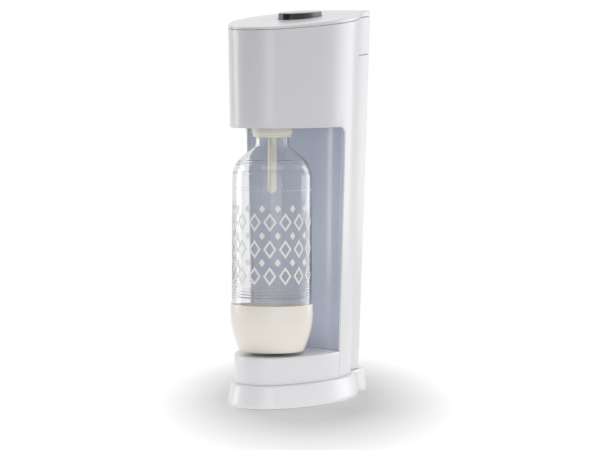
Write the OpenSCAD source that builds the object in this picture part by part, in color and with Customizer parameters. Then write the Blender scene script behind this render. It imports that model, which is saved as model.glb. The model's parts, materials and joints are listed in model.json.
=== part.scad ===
// Sparkling water maker: tapered lens-shaped casing, push-button gas valve,
// tilting head with a screw-in bottle, gas cylinder behind a removable cover.
// Millimetres. +Z up, the front faces -Y, the origin is under the widest section.

/* [Body] */
// Width of the body at its widest, at the top edge
body_w = 126; // [116:1:136]
// Distance from the widest section forward to the nose
body_nose = 113; // [108:1:118]
// Radius of the long side curves
side_r = 165; // [155:1:180]
// Taper of the sides in degrees
draft = 1.2; // [1:0.05:1.5]
// Wall thickness of the casing
shell_t = 2.5; // [2:0.1:3.5]
// Width of the block at the back
rear_w = 94; // [88:1:98]
// Distance from the widest section back to the rear face
rear_reach = 108; // [104:1:112]
// Corner radius of the block at the back
rear_r = 12; // [8:1:16]
// Where the casing ends and the rear covers start
seam_y = 68; // [66:1:70]
// Height of the seam between the upper and lower rear covers
rear_split = 380; // [370:1:390]

/* [Base] */
// Height of the rubber feet
pad_h = 1.5; // [1:0.1:3]
// Radius of the rubber feet
pad_r = 8; // [6:0.5:9]
// Height of the base plate
base_h = 24; // [20:1:30]
// Wall thickness of the base plate
base_t = 3; // [2.5:0.1:4]
// How far the top edge of the base stands out from the body
base_ledge = 4.2; // [2:0.1:5]
// How far the bottom edge of the base stands out from the body
base_flare = 8.2; // [6:0.1:10]
// Width of the rear foot
foot_w = 88; // [87:0.5:94]
// Distance from the widest section back to the end of the rear foot
foot_reach = 113; // [110:1:118]
// Corner radius of the rear foot
foot_r = 15; // [10:1:20]
// How far the rear foot spreads from its top to its bottom
foot_flare = 4; // [2:0.1:4.4]

/* [Bottle bay] */
// Distance from the widest section forward to the bottle axis
bottle_setback = 57; // [54:0.5:60]
// Height of the bottle stand
stand_h = 29.2; // [25:0.1:34]
// Clear height between the stand and the underside of the head
bay_h = 247.3; // [240:0.1:252]
// Radius of the concave wall behind the bottle
bay_wall_r = 82; // [80:0.5:84]
// Front edge of the column sides
bay_edge_y = 2; // [-2:0.5:5]
// Corner radius at the top of the bay
bay_top_r = 9; // [4:0.5:9]
// Corner radius at the bottom of the stand
stand_r = 7; // [4:0.5:10]
// Thickness of the bay liner
liner_t = 2.5; // [2:0.1:3]
// Thickness of the floor of the head
floor_t = 3; // [2.5:0.1:4]

/* [Bottle] */
// Outer radius of the bottle
bottle_r = 43.4; // [38:0.1:45]
// Wall of the bottle
bottle_t = 1.4; // [1:0.1:2]
// Outer radius of the bottle neck
neck_r = 18; // [15:0.5:19]
// Length of the straight neck
neck_len = 36; // [32:0.5:40]
// Radius of the rounded shoulder under the cone of the neck
shoulder_r = 31; // [26:0.5:34]
// Radius of the base cup at its foot
cup_foot_r = 35.2; // [32:0.1:38]
// Height of the base cup
cup_h = 51.8; // [46:0.1:58]
// Wall of the base cup
cup_t = 1.3; // [1.2:0.1:2]
// Gap between the base cup and the stand
bottle_gap = 4; // [3.5:0.1:6]
// Number of grip ribs on the bottle
rib_count = 6; // [3:1:8]

/* [Top] */
// Slope of the lid in degrees
lid_slope = 4.9; // [3:0.1:6]
// Height of the lid above its seam
lid_t = 5; // [4:0.1:7]
// Height of the groove under the lid
groove_h = 0.8; // [0.5:0.1:1.2]
// Room between the button guide and the lid seam
button_room = 15.5; // [15:0.5:20]

/* [Button] */
// Half width of the button
button_b = 20; // [16:0.5:22]
// Half length of the button
button_a = 37; // [30:0.5:38]
// Place of the button axis behind the widest section
button_y = 13; // [10:1:16]
// Height of the dark band above the lid
button_proud = 6; // [5.5:0.1:8]
// Height of the light cap on the band
cap_h = 1.6; // [1:0.1:2.5]
// Radius of the button stem
stem_r = 5; // [4:0.1:6]
// Radius of the button spring
spring_r = 8.5; // [8:0.1:10]
// Wire diameter of the springs
wire_d = 1.2; // [0.8:0.1:1.4]

/* [Gas] */
// Radius of the gas cylinder
cyl_r = 30; // [27:0.5:31]
// Length of the gas cylinder to the top of its neck
cyl_len = 303; // [295:1:310]
// Height of the cylinder shoulder
cyl_shoulder = 42; // [36:1:48]
// Radius of the cylinder neck
cyl_neck_r = 13; // [11:0.5:14]
// Gap between the liner and the cylinder
cyl_gap = 2.5; // [1.5:0.1:4]
// Radius of the valve thread
thread_r = 10.4; // [9:0.1:11]
// Height of the valve collar below the block
valve_collar_h = 18; // [14:1:22]
// Radius of the valve pin
pin_r = 2.5; // [2:0.1:3]
// Height of the valve block
block_h = 22; // [20:1:26]
// Depth of the valve thread in the block
thread_len = 16; // [13:0.5:17]
// Radius of the gas tube
tube_r = 3; // [2:0.1:3.5]

/* [Lever] */
// Distance from the valve pin to the lever pivot
lever_back = 24; // [22:0.5:26]
// Thickness of the lever
lever_t = 6; // [5:0.5:8]
// Width of the lever
lever_w = 14; // [10:1:16]
// Height of the pivot above the valve block
lever_rise = 16; // [14:0.5:18]
// Radius of the lever pin
lever_pin_r = 3; // [2:0.1:3.5]

/* [Tilting head] */
// Height of the tilt axis above the underside of the head
tilt_rise = 16; // [14:0.5:20]
// Radius of the tilt pins
tilt_pin_r = 4; // [3:0.1:5]
// Drop of the neck holder below the head
holder_drop = 10.4; // [8:0.1:13]
// Wall of the neck holder
holder_t = 3.7; // [3:0.1:5]
// Wall added around the holder by the housing
housing_t = 4.7; // [4:0.1:6]
// Height of the housing above the tilt axis
housing_rise = 22; // [20:0.5:26]
// Radius of the carbonation tube
carb_r = 5; // [3:0.1:6]
// Reach of the carbonation tube below the head
carb_reach = 72; // [60:1:90]
// Radius of the relief valve poppet
relief_r = 5; // [4:0.1:6]
// Height of the relief valve
relief_h = 14; // [12:0.5:18]

/* [Fits] */
// Gap of visible seams
seam = 0.4; // [0.3:0.05:0.6]
// Clearance of fixed fits
fit = 0.05; // [0.02:0.01:0.08]
// Radial clearance of turning and sliding fits
run = 0.06; // [0.03:0.01:0.1]
// Clearance between parts that pass each other
clear = 0.3; // [0.25:0.05:0.5]

/* [Hidden] */

$fn = 64;
big = 400;
white = [0.93, 0.93, 0.94];
ivory = [0.88, 0.85, 0.79];
steel = [0.72, 0.73, 0.75];
brass = [0.8, 0.65, 0.35];
grey = [0.55, 0.56, 0.58];
dark = [0.06, 0.06, 0.07];

// Heights from the floor up
base_top = pad_h + base_h;
stand_top = base_top + stand_h;
bay_top = stand_top + bay_h;
floor_top = bay_top + floor_t;
tilt_z = bay_top + tilt_rise;
bottle_z = stand_top + bottle_gap;
cup_top = bottle_z + cup_h;
mouth_z = tilt_z;
neck_z = mouth_z - neck_len;
cradle_floor = 3;
cradle_rim = 10;
cyl_z = base_top + cradle_floor + clear;
cyl_top = cyl_z + cyl_len;
block_z = cyl_top + valve_collar_h;
block_top = block_z + block_h;
lever_z = block_top + lever_rise;
lever_top = lever_z + lever_t / 2;
guide_t = 3;
guide_room = 7;
guide_z = lever_top + guide_room;
guide_top = guide_z + guide_t;
lid_seam = guide_top + button_room;

// Places along the depth
bottle_y = -bottle_setback;
bay_back = bottle_y + bay_wall_r;
cyl_y = bay_back + liner_t + cyl_gap + cyl_r;
lever_y = cyl_y + lever_back;

// Radii and widths of the works
cup_gap = 0.2;
cup_r = bottle_r + cup_gap + cup_t;
holder_bore = neck_r + 2 * clear;
holder_r = holder_bore + holder_t;
housing_r = holder_r + housing_t;
neck_room = 1;
neck_opening_r = housing_r + neck_room;
chassis_t = 3;
chassis_gap = 2;
chassis_in = housing_r + chassis_gap;
chassis_out = chassis_in + chassis_t;
chassis_fore = 20;
chassis_lap = 5;
cheek_rise = 12;
cheek_over = 8;
block_fore = 18;
block_aft = 8;
chassis_front = bottle_y - chassis_fore;
chassis_step = bay_back - chassis_lap;
block_front = cyl_y - block_fore;
block_back = lever_y + block_aft;
ear_t = 5;
ear_in = lever_w / 2 + clear;
ear_r = 6;

// Lens outline: two long side arcs joined by a nose arc, all grown by g
lens_e = side_r - body_w / 2;
nose_r = (side_r * side_r - lens_e * lens_e - body_nose * body_nose) / (2 * (side_r - body_nose));
nose_y = nose_r - body_nose;
nose_a = atan2(nose_y, lens_e);
nose_steps = 10;
side_steps = 22;
function arc(c, r, a0, a1, n) = [for (i = [0 : n])
    let (a = a0 + (a1 - a0) * i / n) c + r * [cos(a), sin(a)]];
function flip(pts) = [for (i = [len(pts) - 1 : -1 : 0]) [-pts[i][0], pts[i][1]]];
function cut_last(pts) = [for (i = [0 : len(pts) - 2]) pts[i]];
function cut_first(pts) = [for (i = [1 : len(pts) - 1]) pts[i]];
function lens_x(g, y) = sqrt(pow(side_r + g, 2) - y * y) - lens_e;
function lens_half(g, y1) = concat(arc([0, nose_y], nose_r + g, -90, nose_a, nose_steps),
    cut_first(arc([-lens_e, 0], side_r + g, nose_a, asin(y1 / (side_r + g)), side_steps)));
function lens(g, y1) = concat(lens_half(g, y1), cut_last(flip(lens_half(g, y1))));

// Block outline: straight sides with rounded rear corners, grown by g
function block_half(w, y0, y1, r, g) =
    concat([[w / 2 + g, y0]], arc([w / 2 + g - r, y1 + g - r], r, 0, 90, 8));
function block(w, y0, y1, r, g) =
    concat(block_half(w, y0, y1, r, g), flip(block_half(w, y0, y1, r, g)));
function rear(g, y0) = block(rear_w, y0, rear_reach, rear_r, g);
function foot(g) = block(foot_w, 0, foot_reach, foot_r, g);
function oval(g) = [for (i = [0 : 63])
    let (a = i * 360 / 64) [(button_b + g) * cos(a), button_y + (button_a + g) * sin(a)]];

// Growth of the body outline at a height, and the sloping plane of the lid seam
function taper(z) = (z - lid_seam) * tan(draft);
function slope_z(y) = lid_seam + y * tan(lid_slope);
function flat_ring(pts, z) = [for (p = pts) [p[0], p[1], z]];
function slope_ring(pts, dz) = [for (p = pts) [p[0], p[1], slope_z(p[1]) + dz]];

// Solid through a stack of rings with the same number of points
module loft(rings) {
    n = len(rings[0]);
    last = len(rings) - 1;
    sides = [for (k = [0 : last - 1]) for (i = [0 : n - 1])
        [k * n + i, (k + 1) * n + i, (k + 1) * n + (i + 1) % n, k * n + (i + 1) % n]];
    low = [for (i = [0 : n - 1]) i];
    high = [for (i = [n - 1 : -1 : 0]) last * n + i];
    polyhedron([for (r = rings) for (p = r) p], concat([low], sides, [high]), convexity = 6);
}

// Tube of radius r swept along points, with side directions taken from a reference vector
function unit(v) = v / norm(v);
function heading(p, i) = unit(p[min(i + 1, len(p) - 1)] - p[max(i - 1, 0)]);
function tube_ring(c, t, r, ref, n) =
    let (u = unit(cross(t, ref)), v = cross(t, u))
    [for (k = [0 : n - 1]) c + r * (cos(-k * 360 / n) * u + sin(-k * 360 / n) * v)];
module sweep(path, r, ref, n) {
    loft([for (i = [0 : len(path) - 1]) tube_ring(path[i], heading(path, i), r, ref, n)]);
}

// Coil spring standing on z0
module coil(x, y, z0, z1, r, wire, turns) {
    steps = turns * 12;
    rise = z1 - z0 - wire;
    path = [for (i = [0 : steps])
        [x + r * cos(i * 30), y + r * sin(i * 30), z0 + wire / 2 + rise * i / steps]];
    echo("least gap between coil turns", rise / turns - wire);
    sweep(path, wire / 2, [0, 0, 1], 6);
}

// Upright tube between two heights
module pipe(x, y, z0, z1, r1, r0) {
    translate([x, y, z0]) difference() {
        cylinder(h = z1 - z0, r = r1);
        translate([0, 0, -1]) cylinder(h = z1 - z0 + 2, r = r0);
    }
}

// Rod along X between two places
module rod_x(x0, x1, y, z, r) {
    translate([x0, y, z]) rotate([0, 90, 0]) cylinder(h = x1 - x0, r = r);
}

// Tapered body between two heights, grown by g
module body_slice(z0, z1, g, y1) {
    loft([flat_ring(lens(taper(z0) + g, y1), z0), flat_ring(lens(taper(z1) + g, y1), z1)]);
}

// Side profile of the bottle bay, from the base to the head
module bay_profile(z0, z1, gap) {
    y1 = bay_edge_y - gap;
    low = arc([y1 - stand_r, z0 + stand_r], stand_r, -90, 0, 8);
    high = arc([y1 - bay_top_r, z1 - bay_top_r], bay_top_r, 0, 90, 8);
    rotate([90, 0, 90]) translate([0, 0, -big / 2]) linear_extrude(height = big)
        polygon(concat([[-big, z0]], low, high, [[-big, z1]]));
}

// Screw with a pan head: the head's underside is at z = 0, the shank points up
screw_r = 1.5;
screw_head_r = 3;
screw_head_h = 1.2;
module screw(len) {
    cylinder(h = len, r = screw_r);
    translate([0, 0, -screw_head_h]) cylinder(h = screw_head_h, r = screw_head_r);
}

// Base
base_in = taper(base_top);
base_step = 2.5;
base_screw_len = 12;
base_bottom_t = 2.5;
bottom_gap = 1;
bottom_in = base_t + bottom_gap;
pad_y = -62;
pad_inset = 14;
rear_pad = [14, 19];
screw_inset_x = 8;
screw_y = [-30, 72];
pad_x = lens_x(base_in + base_flare - bottom_in, pad_y) - pad_inset;
rear_pad_x = foot_w / 2 - rear_pad[0];
rear_pad_y = foot_reach - rear_pad[1];
pad_places = [[pad_x, pad_y], [-pad_x, pad_y], [rear_pad_x, rear_pad_y], [-rear_pad_x, rear_pad_y]];
screw_places = [for (y = screw_y) for (s = [1, -1])
    [s * (lens_x(base_in + base_flare - bottom_in, y) - screw_inset_x), y]];
module base_form(shape, y1, g, z0, z1) {
    lens_g = [base_flare, base_ledge, 0];
    foot_g = [0, -foot_flare / 2, -foot_flare];
    level = [z0, z1 - base_step, z1];
    loft([for (i = [0 : 2])
        flat_ring(shape == "lens" ? lens(base_in + lens_g[i] + g, y1) : foot(foot_g[i] + g), level[i])]);
}
base_tail = 95;
module base_both(g, z0, z1) {
    base_form("lens", base_tail, g, z0, z1);
    base_form("foot", base_tail, g, z0, z1);
}
module base_plate() color(white) {
    difference() {
        base_both(0, pad_h, base_top);
        base_both(-base_t, pad_h - 1, base_top - base_t);
    }
    for (p = screw_places)
        pipe(p[0], p[1], pad_h + base_bottom_t, base_top - base_t + 1, screw_r + base_t, screw_r + run);
}
module base_bottom() color(grey) difference() {
    union() {
        loft([flat_ring(lens(base_in + base_flare - bottom_in, base_tail), pad_h),
            flat_ring(lens(base_in + base_flare - bottom_in, base_tail), pad_h + base_bottom_t)]);
        loft([flat_ring(foot(-bottom_in), pad_h), flat_ring(foot(-bottom_in), pad_h + base_bottom_t)]);
    }
    for (p = screw_places)
        translate([p[0], p[1], 0]) cylinder(h = big, r = screw_r + clear);
}
module foot_pad(i) color(dark)
    translate([pad_places[i][0], pad_places[i][1], 0]) cylinder(h = pad_h, r = pad_r);
module base_screws() color(steel)
    for (p = screw_places)
        translate([p[0], p[1], pad_h]) screw(base_screw_len);

// Casing
module bottle_stand() color(white) {
    difference() {
        intersection() {
            body_slice(base_top, stand_top, 0, seam_y);
            bay_profile(base_top, bay_top, seam);
        }
        intersection() {
            body_slice(base_top - 1, stand_top - shell_t, -shell_t, seam_y);
            bay_profile(base_top - 1, bay_top, seam + shell_t);
        }
    }
    intersection() {
        body_slice(stand_top - shell_t, stand_top, -shell_t - clear, seam_y);
        translate([0, bottle_y, stand_top - shell_t]) cylinder(h = shell_t, r = bay_wall_r + liner_t);
    }
}
module body_shell() color(white) difference() {
    loft([flat_ring(lens(taper(base_top), seam_y), base_top), slope_ring(lens(0, seam_y), 0)]);
    difference() {
        loft([flat_ring(lens(taper(base_top) - shell_t, seam_y + 1), base_top - 1),
            slope_ring(lens(-shell_t, seam_y + 1), 1)]);
        translate([-big / 2, -big, bay_top]) cube([big, big + bay_back + liner_t, floor_t]);
    }
    bay_profile(base_top - 1, bay_top, 0);
    translate([0, bottle_y, bay_top - 1]) cylinder(h = floor_t + 2, r = neck_opening_r);
}
module cavity_liner() color([0.68, 0.73, 0.82]) intersection() {
    body_slice(stand_top + clear, bay_top - clear, -shell_t - clear, seam_y);
    pipe(0, bottle_y, stand_top, bay_top, bay_wall_r + liner_t, bay_wall_r);
}
lid_lip = 4;
lid_lap = 9;
lid_lip_t = 2;
post_r = 4;
post_places = [[26, -14], [-26, -14], [26, 40], [-26, 40]];
module lid_slab(top) {
    edge = [[0, groove_h], [-0.3, lid_t * 0.45], [-1.4, lid_t * 0.8], [-3.5, lid_t]];
    loft([for (e = edge)
        slope_ring(top == "lens" ? lens(e[0], seam_y) : rear(e[0], seam_y - lid_lap), e[1])]);
}
module lid_ring(g) {
    loft([slope_ring(lens(g, seam_y), -lid_lip), slope_ring(lens(g, seam_y), groove_h + 1)]);
}
module top_lid() color(white) {
    difference() {
        union() {
            lid_slab("lens");
            lid_slab("rear");
            difference() {
                lid_ring(-shell_t - clear);
                lid_ring(-shell_t - clear - lid_lip_t);
            }
        }
        translate([0, 0, guide_top]) linear_extrude(height = big) polygon(oval(seam));
    }
    for (p = post_places)
        pipe(p[0], p[1], guide_top, slope_z(p[1]) + groove_h + 1, post_r, screw_r + run);
}
module rear_slice(z0, z1, g, y0) {
    loft([flat_ring(rear(taper(z0) + g, y0), z0), flat_ring(rear(taper(z1) + g, y0), z1)]);
}
module upper_rear_cover() color(white) difference() {
    loft([flat_ring(rear(taper(rear_split), seam_y + seam), rear_split),
        slope_ring(rear(0, seam_y + seam), 0)]);
    loft([flat_ring(rear(taper(rear_split) - shell_t, seam_y - 1), rear_split - 1),
        slope_ring(rear(-shell_t, seam_y - 1), 1)]);
}
module rear_cover() color(white) difference() {
    rear_slice(base_top + seam, rear_split - seam, 0, seam_y + seam);
    rear_slice(base_top - 1, rear_split + 1, -shell_t, seam_y - 1);
}

// Chassis and gas valve
module chassis() color(grey) difference() {
    union() {
        translate([-chassis_out, chassis_front, floor_top])
            cube([2 * chassis_out, bay_back - chassis_front, chassis_t]);
        for (s = [-1, 1]) {
            x0 = s > 0 ? chassis_in : -chassis_out;
            translate([x0, chassis_front, floor_top])
                cube([chassis_t, block_back - chassis_front, tilt_z + cheek_rise - floor_top]);
            translate([x0, chassis_step, floor_top])
                cube([chassis_t, block_back - chassis_step, block_top + cheek_over - floor_top]);
        }
    }
    translate([0, bottle_y, floor_top - 1]) cylinder(h = chassis_t + 2, r = neck_opening_r);
    rod_x(-big / 2, big / 2, bottle_y, tilt_z, tilt_pin_r + run);
    for (p = valve_screw_places)
        rod_x(-big / 2, big / 2, p[0], p[1], screw_r + clear);
}
valve_screw_len = 10;
screw_inset = 8;
screw_up = 6;
valve_screw_places = [[block_front + screw_inset, block_z + screw_up],
    [block_back - screw_inset, block_z + screw_up]];
seal_h = 2;
outlet_x = 20;
outlet_z = block_z + 11;
nut_len = 6;
nut_r = 5.5;
module valve_block() color(steel) difference() {
    union() {
        translate([-chassis_in + fit, block_front, block_z])
            cube([2 * (chassis_in - fit), block_back - block_front, block_h]);
        for (s = [-1, 1]) {
            x0 = s > 0 ? ear_in : -ear_in - ear_t;
            translate([x0, lever_y - ear_r, block_top - 1]) cube([ear_t, 2 * ear_r, lever_rise + 1]);
            rod_x(x0, x0 + ear_t, lever_y, lever_z, ear_r);
        }
    }
    translate([0, cyl_y, block_z - 1]) cylinder(h = thread_len + seal_h + 1, r = thread_r + run);
    translate([0, cyl_y, block_z]) cylinder(h = big, r = pin_r + run);
    rod_x(-big / 2, big / 2, lever_y, lever_z, lever_pin_r + fit);
    for (p = valve_screw_places)
        for (s = [-1, 1])
            translate([s * chassis_in, p[0], p[1]]) rotate([0, -90 * s, 0])
                cylinder(h = 2 * valve_screw_len, r = screw_r + run, center = true);
}
module valve_screws() color(steel)
    for (p = valve_screw_places)
        for (s = [-1, 1])
            translate([s * chassis_out, p[0], p[1]]) rotate([0, -90 * s, 0]) screw(valve_screw_len);
module outlet_nut() color(brass)
    translate([outlet_x, block_front, outlet_z]) rotate([90, 0, 0])
        cylinder(h = nut_len, r = nut_r, $fn = 6);
valve_top = block_z + thread_len;
module valve_seal() color(dark)
    pipe(0, cyl_y, valve_top + fit, valve_top + seal_h - fit, thread_r - 1, pin_r + clear);
cyl_t = 3.5;
cyl_heel = 8;
function cyl_side(t) =
    let (bend = cyl_shoulder * 0.55, straight = cyl_len - cyl_shoulder)
    concat([[0, t]], arc([cyl_r - cyl_heel, cyl_heel], cyl_heel - t, -90, 0, 6),
        arc([cyl_r - bend, straight], bend - t, 0, 62, 8),
        [[cyl_neck_r - t, cyl_len - 6], [cyl_neck_r - t, cyl_len + t], [0, cyl_len + t]]);
module gas_cylinder() color([0.75, 0.78, 0.8]) translate([0, cyl_y, cyl_z]) difference() {
    rotate_extrude() polygon(cyl_side(0));
    rotate_extrude() polygon(cyl_side(cyl_t));
}
pin_gap = 0.3;
pin_top = lever_z - lever_t / 2 - pin_gap;
pin_len = pin_top - block_z;
module cylinder_valve() color(brass) difference() {
    translate([0, cyl_y, cyl_top]) {
        cylinder(h = valve_collar_h - 1, r = cyl_neck_r);
        cylinder(h = valve_top - cyl_top, r = thread_r);
    }
    translate([0, cyl_y, block_z - 2]) cylinder(h = big, r = pin_r + run);
}
module valve_pin() color(steel) translate([0, cyl_y, pin_top - pin_len]) {
    cylinder(h = pin_len - pin_r, r = pin_r);
    translate([0, 0, pin_len - pin_r]) sphere(r = pin_r);
}
module cylinder_cradle() color(grey) translate([0, cyl_y, base_top]) difference() {
    cylinder(h = cradle_rim, r = cyl_r + clear + base_t);
    translate([0, 0, cradle_floor]) cylinder(h = cradle_rim, r = cyl_r + clear);
}

// Gas tube: one cubic curve from the outlet nut to the top of the swivel elbow
elbow_r = 7;
elbow_gap = 1;
elbow_end = lens_x(taper(tilt_z) - shell_t, bottle_setback + elbow_r) - elbow_gap;
elbow_x = (chassis_out + elbow_end) / 2;
riser_r = (elbow_end - chassis_out) / 2;
elbow_rise = 10;
tube_ends = [[outlet_x, block_front - nut_len - clear, outlet_z],
    [elbow_x, bottle_y, tilt_z + elbow_rise + clear]];
tube_pull = [[0, -40, 0], [0, 0, 44]];
function bezier(a, b, c, d, t) =
    let (u = 1 - t) a * u * u * u + 3 * b * t * u * u + 3 * c * t * t * u + d * t * t * t;
module gas_tube() color(grey) {
    steps = 16;
    sweep([for (i = [0 : steps]) bezier(tube_ends[0], tube_ends[0] + tube_pull[0],
        tube_ends[1] + tube_pull[1], tube_ends[1], i / steps)], tube_r, [1, 0, 0], 10);
}
pin_out = 4;
pin_reach = chassis_out + pin_out;
module tube_elbow() color(brass) difference() {
    union() {
        rod_x(chassis_out, elbow_end, bottle_y, tilt_z, elbow_r);
        translate([elbow_x, bottle_y, tilt_z]) cylinder(h = elbow_rise, r = riser_r);
    }
    rod_x(chassis_out - 1, pin_reach + clear, bottle_y, tilt_z, tilt_pin_r + run);
}

// Button and lever
button_low = -2.2;
flange_out = 1.5;
flange_top = groove_h - clear;
tip_gap = 0.3;
band_edge = 0.6;
cap_inset = 1.2;
cap_edge = 1.4;
module button() color(dark) {
    band_top = lid_t + button_proud;
    loft([slope_ring(oval(flange_out), button_low), slope_ring(oval(flange_out), flange_top),
        slope_ring(oval(0), flange_top), slope_ring(oval(0), band_top - band_edge),
        slope_ring(oval(-band_edge), band_top)]);
    translate([0, button_y, lever_top + tip_gap]) rotate_extrude()
        polygon(concat(arc([0, stem_r], stem_r, -90, 0, 8),
            [[stem_r, slope_z(button_y) - lever_top], [0, slope_z(button_y) - lever_top]]));
}
module button_cap() color([0.8, 0.8, 0.82])
    loft([slope_ring(oval(-cap_inset), lid_t + button_proud + fit),
        slope_ring(oval(-cap_inset), lid_t + button_proud + cap_h / 2),
        slope_ring(oval(-cap_inset - cap_edge), lid_t + button_proud + cap_h)]);
guide_half = [31, 32];
module button_guide() color(grey) difference() {
    translate([-guide_half[0], button_y - guide_half[1], guide_z])
        cube([2 * guide_half[0], 2 * guide_half[1], guide_t]);
    translate([0, button_y, guide_z - 1]) cylinder(h = guide_t + 2, r = stem_r + run);
    for (p = post_places)
        translate([p[0], p[1], guide_z - 1]) cylinder(h = guide_t + 2, r = screw_r + clear);
}
guide_screw_len = 10;
spring_turns = 5;
lever_fore = 3;
module guide_screws() color(steel)
    for (p = post_places)
        translate([p[0], p[1], guide_z]) screw(guide_screw_len);
module button_spring() color(steel)
    coil(0, button_y, guide_top, slope_z(button_y - spring_r - wire_d) + button_low - fit,
        spring_r, wire_d, spring_turns);
module lever() color(steel) difference() {
    union() {
        translate([-lever_w / 2, button_y - stem_r - lever_fore, lever_z - lever_t / 2])
            cube([lever_w, lever_y - button_y + stem_r + lever_fore, lever_t]);
        rod_x(-lever_w / 2, lever_w / 2, lever_y, lever_z, ear_r);
    }
    rod_x(-big / 2, big / 2, lever_y, lever_z, lever_pin_r + run);
}
module lever_pin() color(steel)
    rod_x(-ear_in - ear_t - 1, ear_in + ear_t + 1, lever_y, lever_z, lever_pin_r);

// Tilting head
housing_drop = 8.5;
housing_roof = 8;
pin_seat = 6;
housing_z = tilt_z - housing_drop;
housing_top = tilt_z + housing_rise;
seal_t = 3;
relief_x = 12;
relief_wall = 1.6;
relief_roof = 2;
module head_housing() color(ivory) difference() {
    translate([0, bottle_y, housing_z]) cylinder(h = housing_top - housing_z, r = housing_r);
    translate([0, bottle_y, housing_z - 1])
        cylinder(h = mouth_z + clear + seal_t + fit - housing_z + 1, r = holder_bore);
    translate([0, bottle_y, housing_z])
        cylinder(h = housing_top - housing_z - housing_roof, r = carb_r + fit);
    rod_x(-big / 2, -housing_r + pin_seat, bottle_y, tilt_z, tilt_pin_r + fit);
    rod_x(housing_r - pin_seat, big / 2, bottle_y, tilt_z, tilt_pin_r + fit);
}
module neck_holder() color(ivory)
    pipe(0, bottle_y, bay_top - holder_drop, housing_z, holder_r, holder_bore);
module bottle_seal() color(dark)
    pipe(0, bottle_y, mouth_z + clear, mouth_z + clear + seal_t, holder_bore - fit, carb_r + 2);
module carb_tube() color(ivory) translate([0, bottle_y, bay_top - carb_reach]) difference() {
    union() {
        translate([0, 0, carb_r])
            cylinder(h = housing_top - housing_roof - bay_top + carb_reach - carb_r, r = carb_r);
        translate([0, 0, carb_r]) sphere(r = carb_r);
    }
    translate([0, 0, -1]) cylinder(h = big / 2, r = carb_r * 0.3);
}
module tilt_pin(s) color(steel)
    rod_x(s > 0 ? housing_r - pin_seat + fit : -pin_reach, s > 0 ? pin_reach : -housing_r + pin_seat - fit,
        bottle_y, tilt_z, tilt_pin_r);
module relief_bonnet() color(ivory) translate([relief_x, bottle_y, housing_top]) difference() {
    cylinder(h = relief_h, r = relief_r + relief_wall);
    translate([0, 0, -1]) cylinder(h = relief_h - relief_roof + 1, r = relief_r + run);
}
poppet_h = 4;
relief_turns = 4;
module relief_poppet() color(brass)
    translate([relief_x, bottle_y, housing_top]) cylinder(h = poppet_h, r = relief_r);
module relief_spring() color(steel)
    coil(relief_x, bottle_y, housing_top + poppet_h + fit, housing_top + relief_h - relief_roof - fit,
        relief_r - wire_d, wire_d * 0.7, relief_turns);

// Bottle: half profile outside and inside, with grip ribs above the base cup
rib_rise = 8;
rib_pitch = 3.2;
rib_d = 0.8;
rib_sink = 0.2;
heel_r = 36;
bottle_low = bottle_z + cup_t + clear;
cone_a = 52;
cone_r = bottle_r - shoulder_r * (1 - cos(cone_a));
shoulder_z = neck_z - (cone_r - neck_r) / tan(cone_a) - shoulder_r * sin(cone_a);
function bottle_side(t) = concat(arc([bottle_r - heel_r, bottle_low + heel_r], heel_r - t, -90, 0, 8),
    arc([bottle_r - shoulder_r, shoulder_z], shoulder_r - t, 0, cone_a, 8),
    [[neck_r - t, neck_z - t * tan(cone_a / 2)], [neck_r - t, mouth_z]]);
module bottle() color([0.85, 0.9, 0.95, 0.4]) translate([0, bottle_y, 0]) {
    rotate_extrude() polygon(concat([[0, bottle_low]], bottle_side(0),
        [for (i = [len(bottle_side(0)) - 1 : -1 : 0]) bottle_side(bottle_t)[i]],
        [[0, bottle_low + bottle_t]]));
    for (i = [0 : rib_count - 1])
        translate([0, 0, cup_top + rib_rise + i * rib_pitch]) rotate_extrude()
            translate([bottle_r - rib_sink, 0]) circle(r = rib_d / 2, $fn = 16);
}
cup_curve = 0.75;
cup_power = 1.7;
cup_steps = 10;
function cup_side(t) = [for (i = [0 : cup_steps]) let (u = i / cup_steps)
    [cup_foot_r + (cup_r - cup_foot_r) * (1 - pow(1 - u, cup_power)) - t,
        bottle_z + max(t, cup_h * cup_curve * u)]];
module bottle_cup() color(ivory) translate([0, bottle_y, 0]) rotate_extrude()
    polygon(concat([[0, bottle_z]], cup_side(0), [[cup_r, cup_top], [cup_r - cup_t, cup_top]],
        [for (i = [cup_steps : -1 : 0]) cup_side(cup_t)[i]], [[0, bottle_z + cup_t]]));

base_plate();
base_bottom();
foot_pad(0);  // foot_1
foot_pad(1);  // foot_2
foot_pad(2);  // foot_3
foot_pad(3);  // foot_4
base_screws();
bottle_stand();
body_shell();
cavity_liner();
top_lid();
upper_rear_cover();
rear_cover();
chassis();
valve_block();
valve_screws();
lever();
lever_pin();
button();
button_cap();
button_guide();
guide_screws();
button_spring();
gas_cylinder();
cylinder_valve();
valve_pin();
valve_seal();
cylinder_cradle();
gas_tube();
outlet_nut();
tube_elbow();
head_housing();
neck_holder();
bottle_seal();
carb_tube();
tilt_pin(-1);  // tilt_pin_left
tilt_pin(1);  // tilt_pin_right
relief_bonnet();
relief_poppet();
relief_spring();
bottle();
bottle_cup();
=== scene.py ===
import json
from math import acos, asin, atan2, cos, pi, radians, sin, sqrt, tan

import bmesh
import bpy
from mathutils import Matrix, Vector


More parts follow.
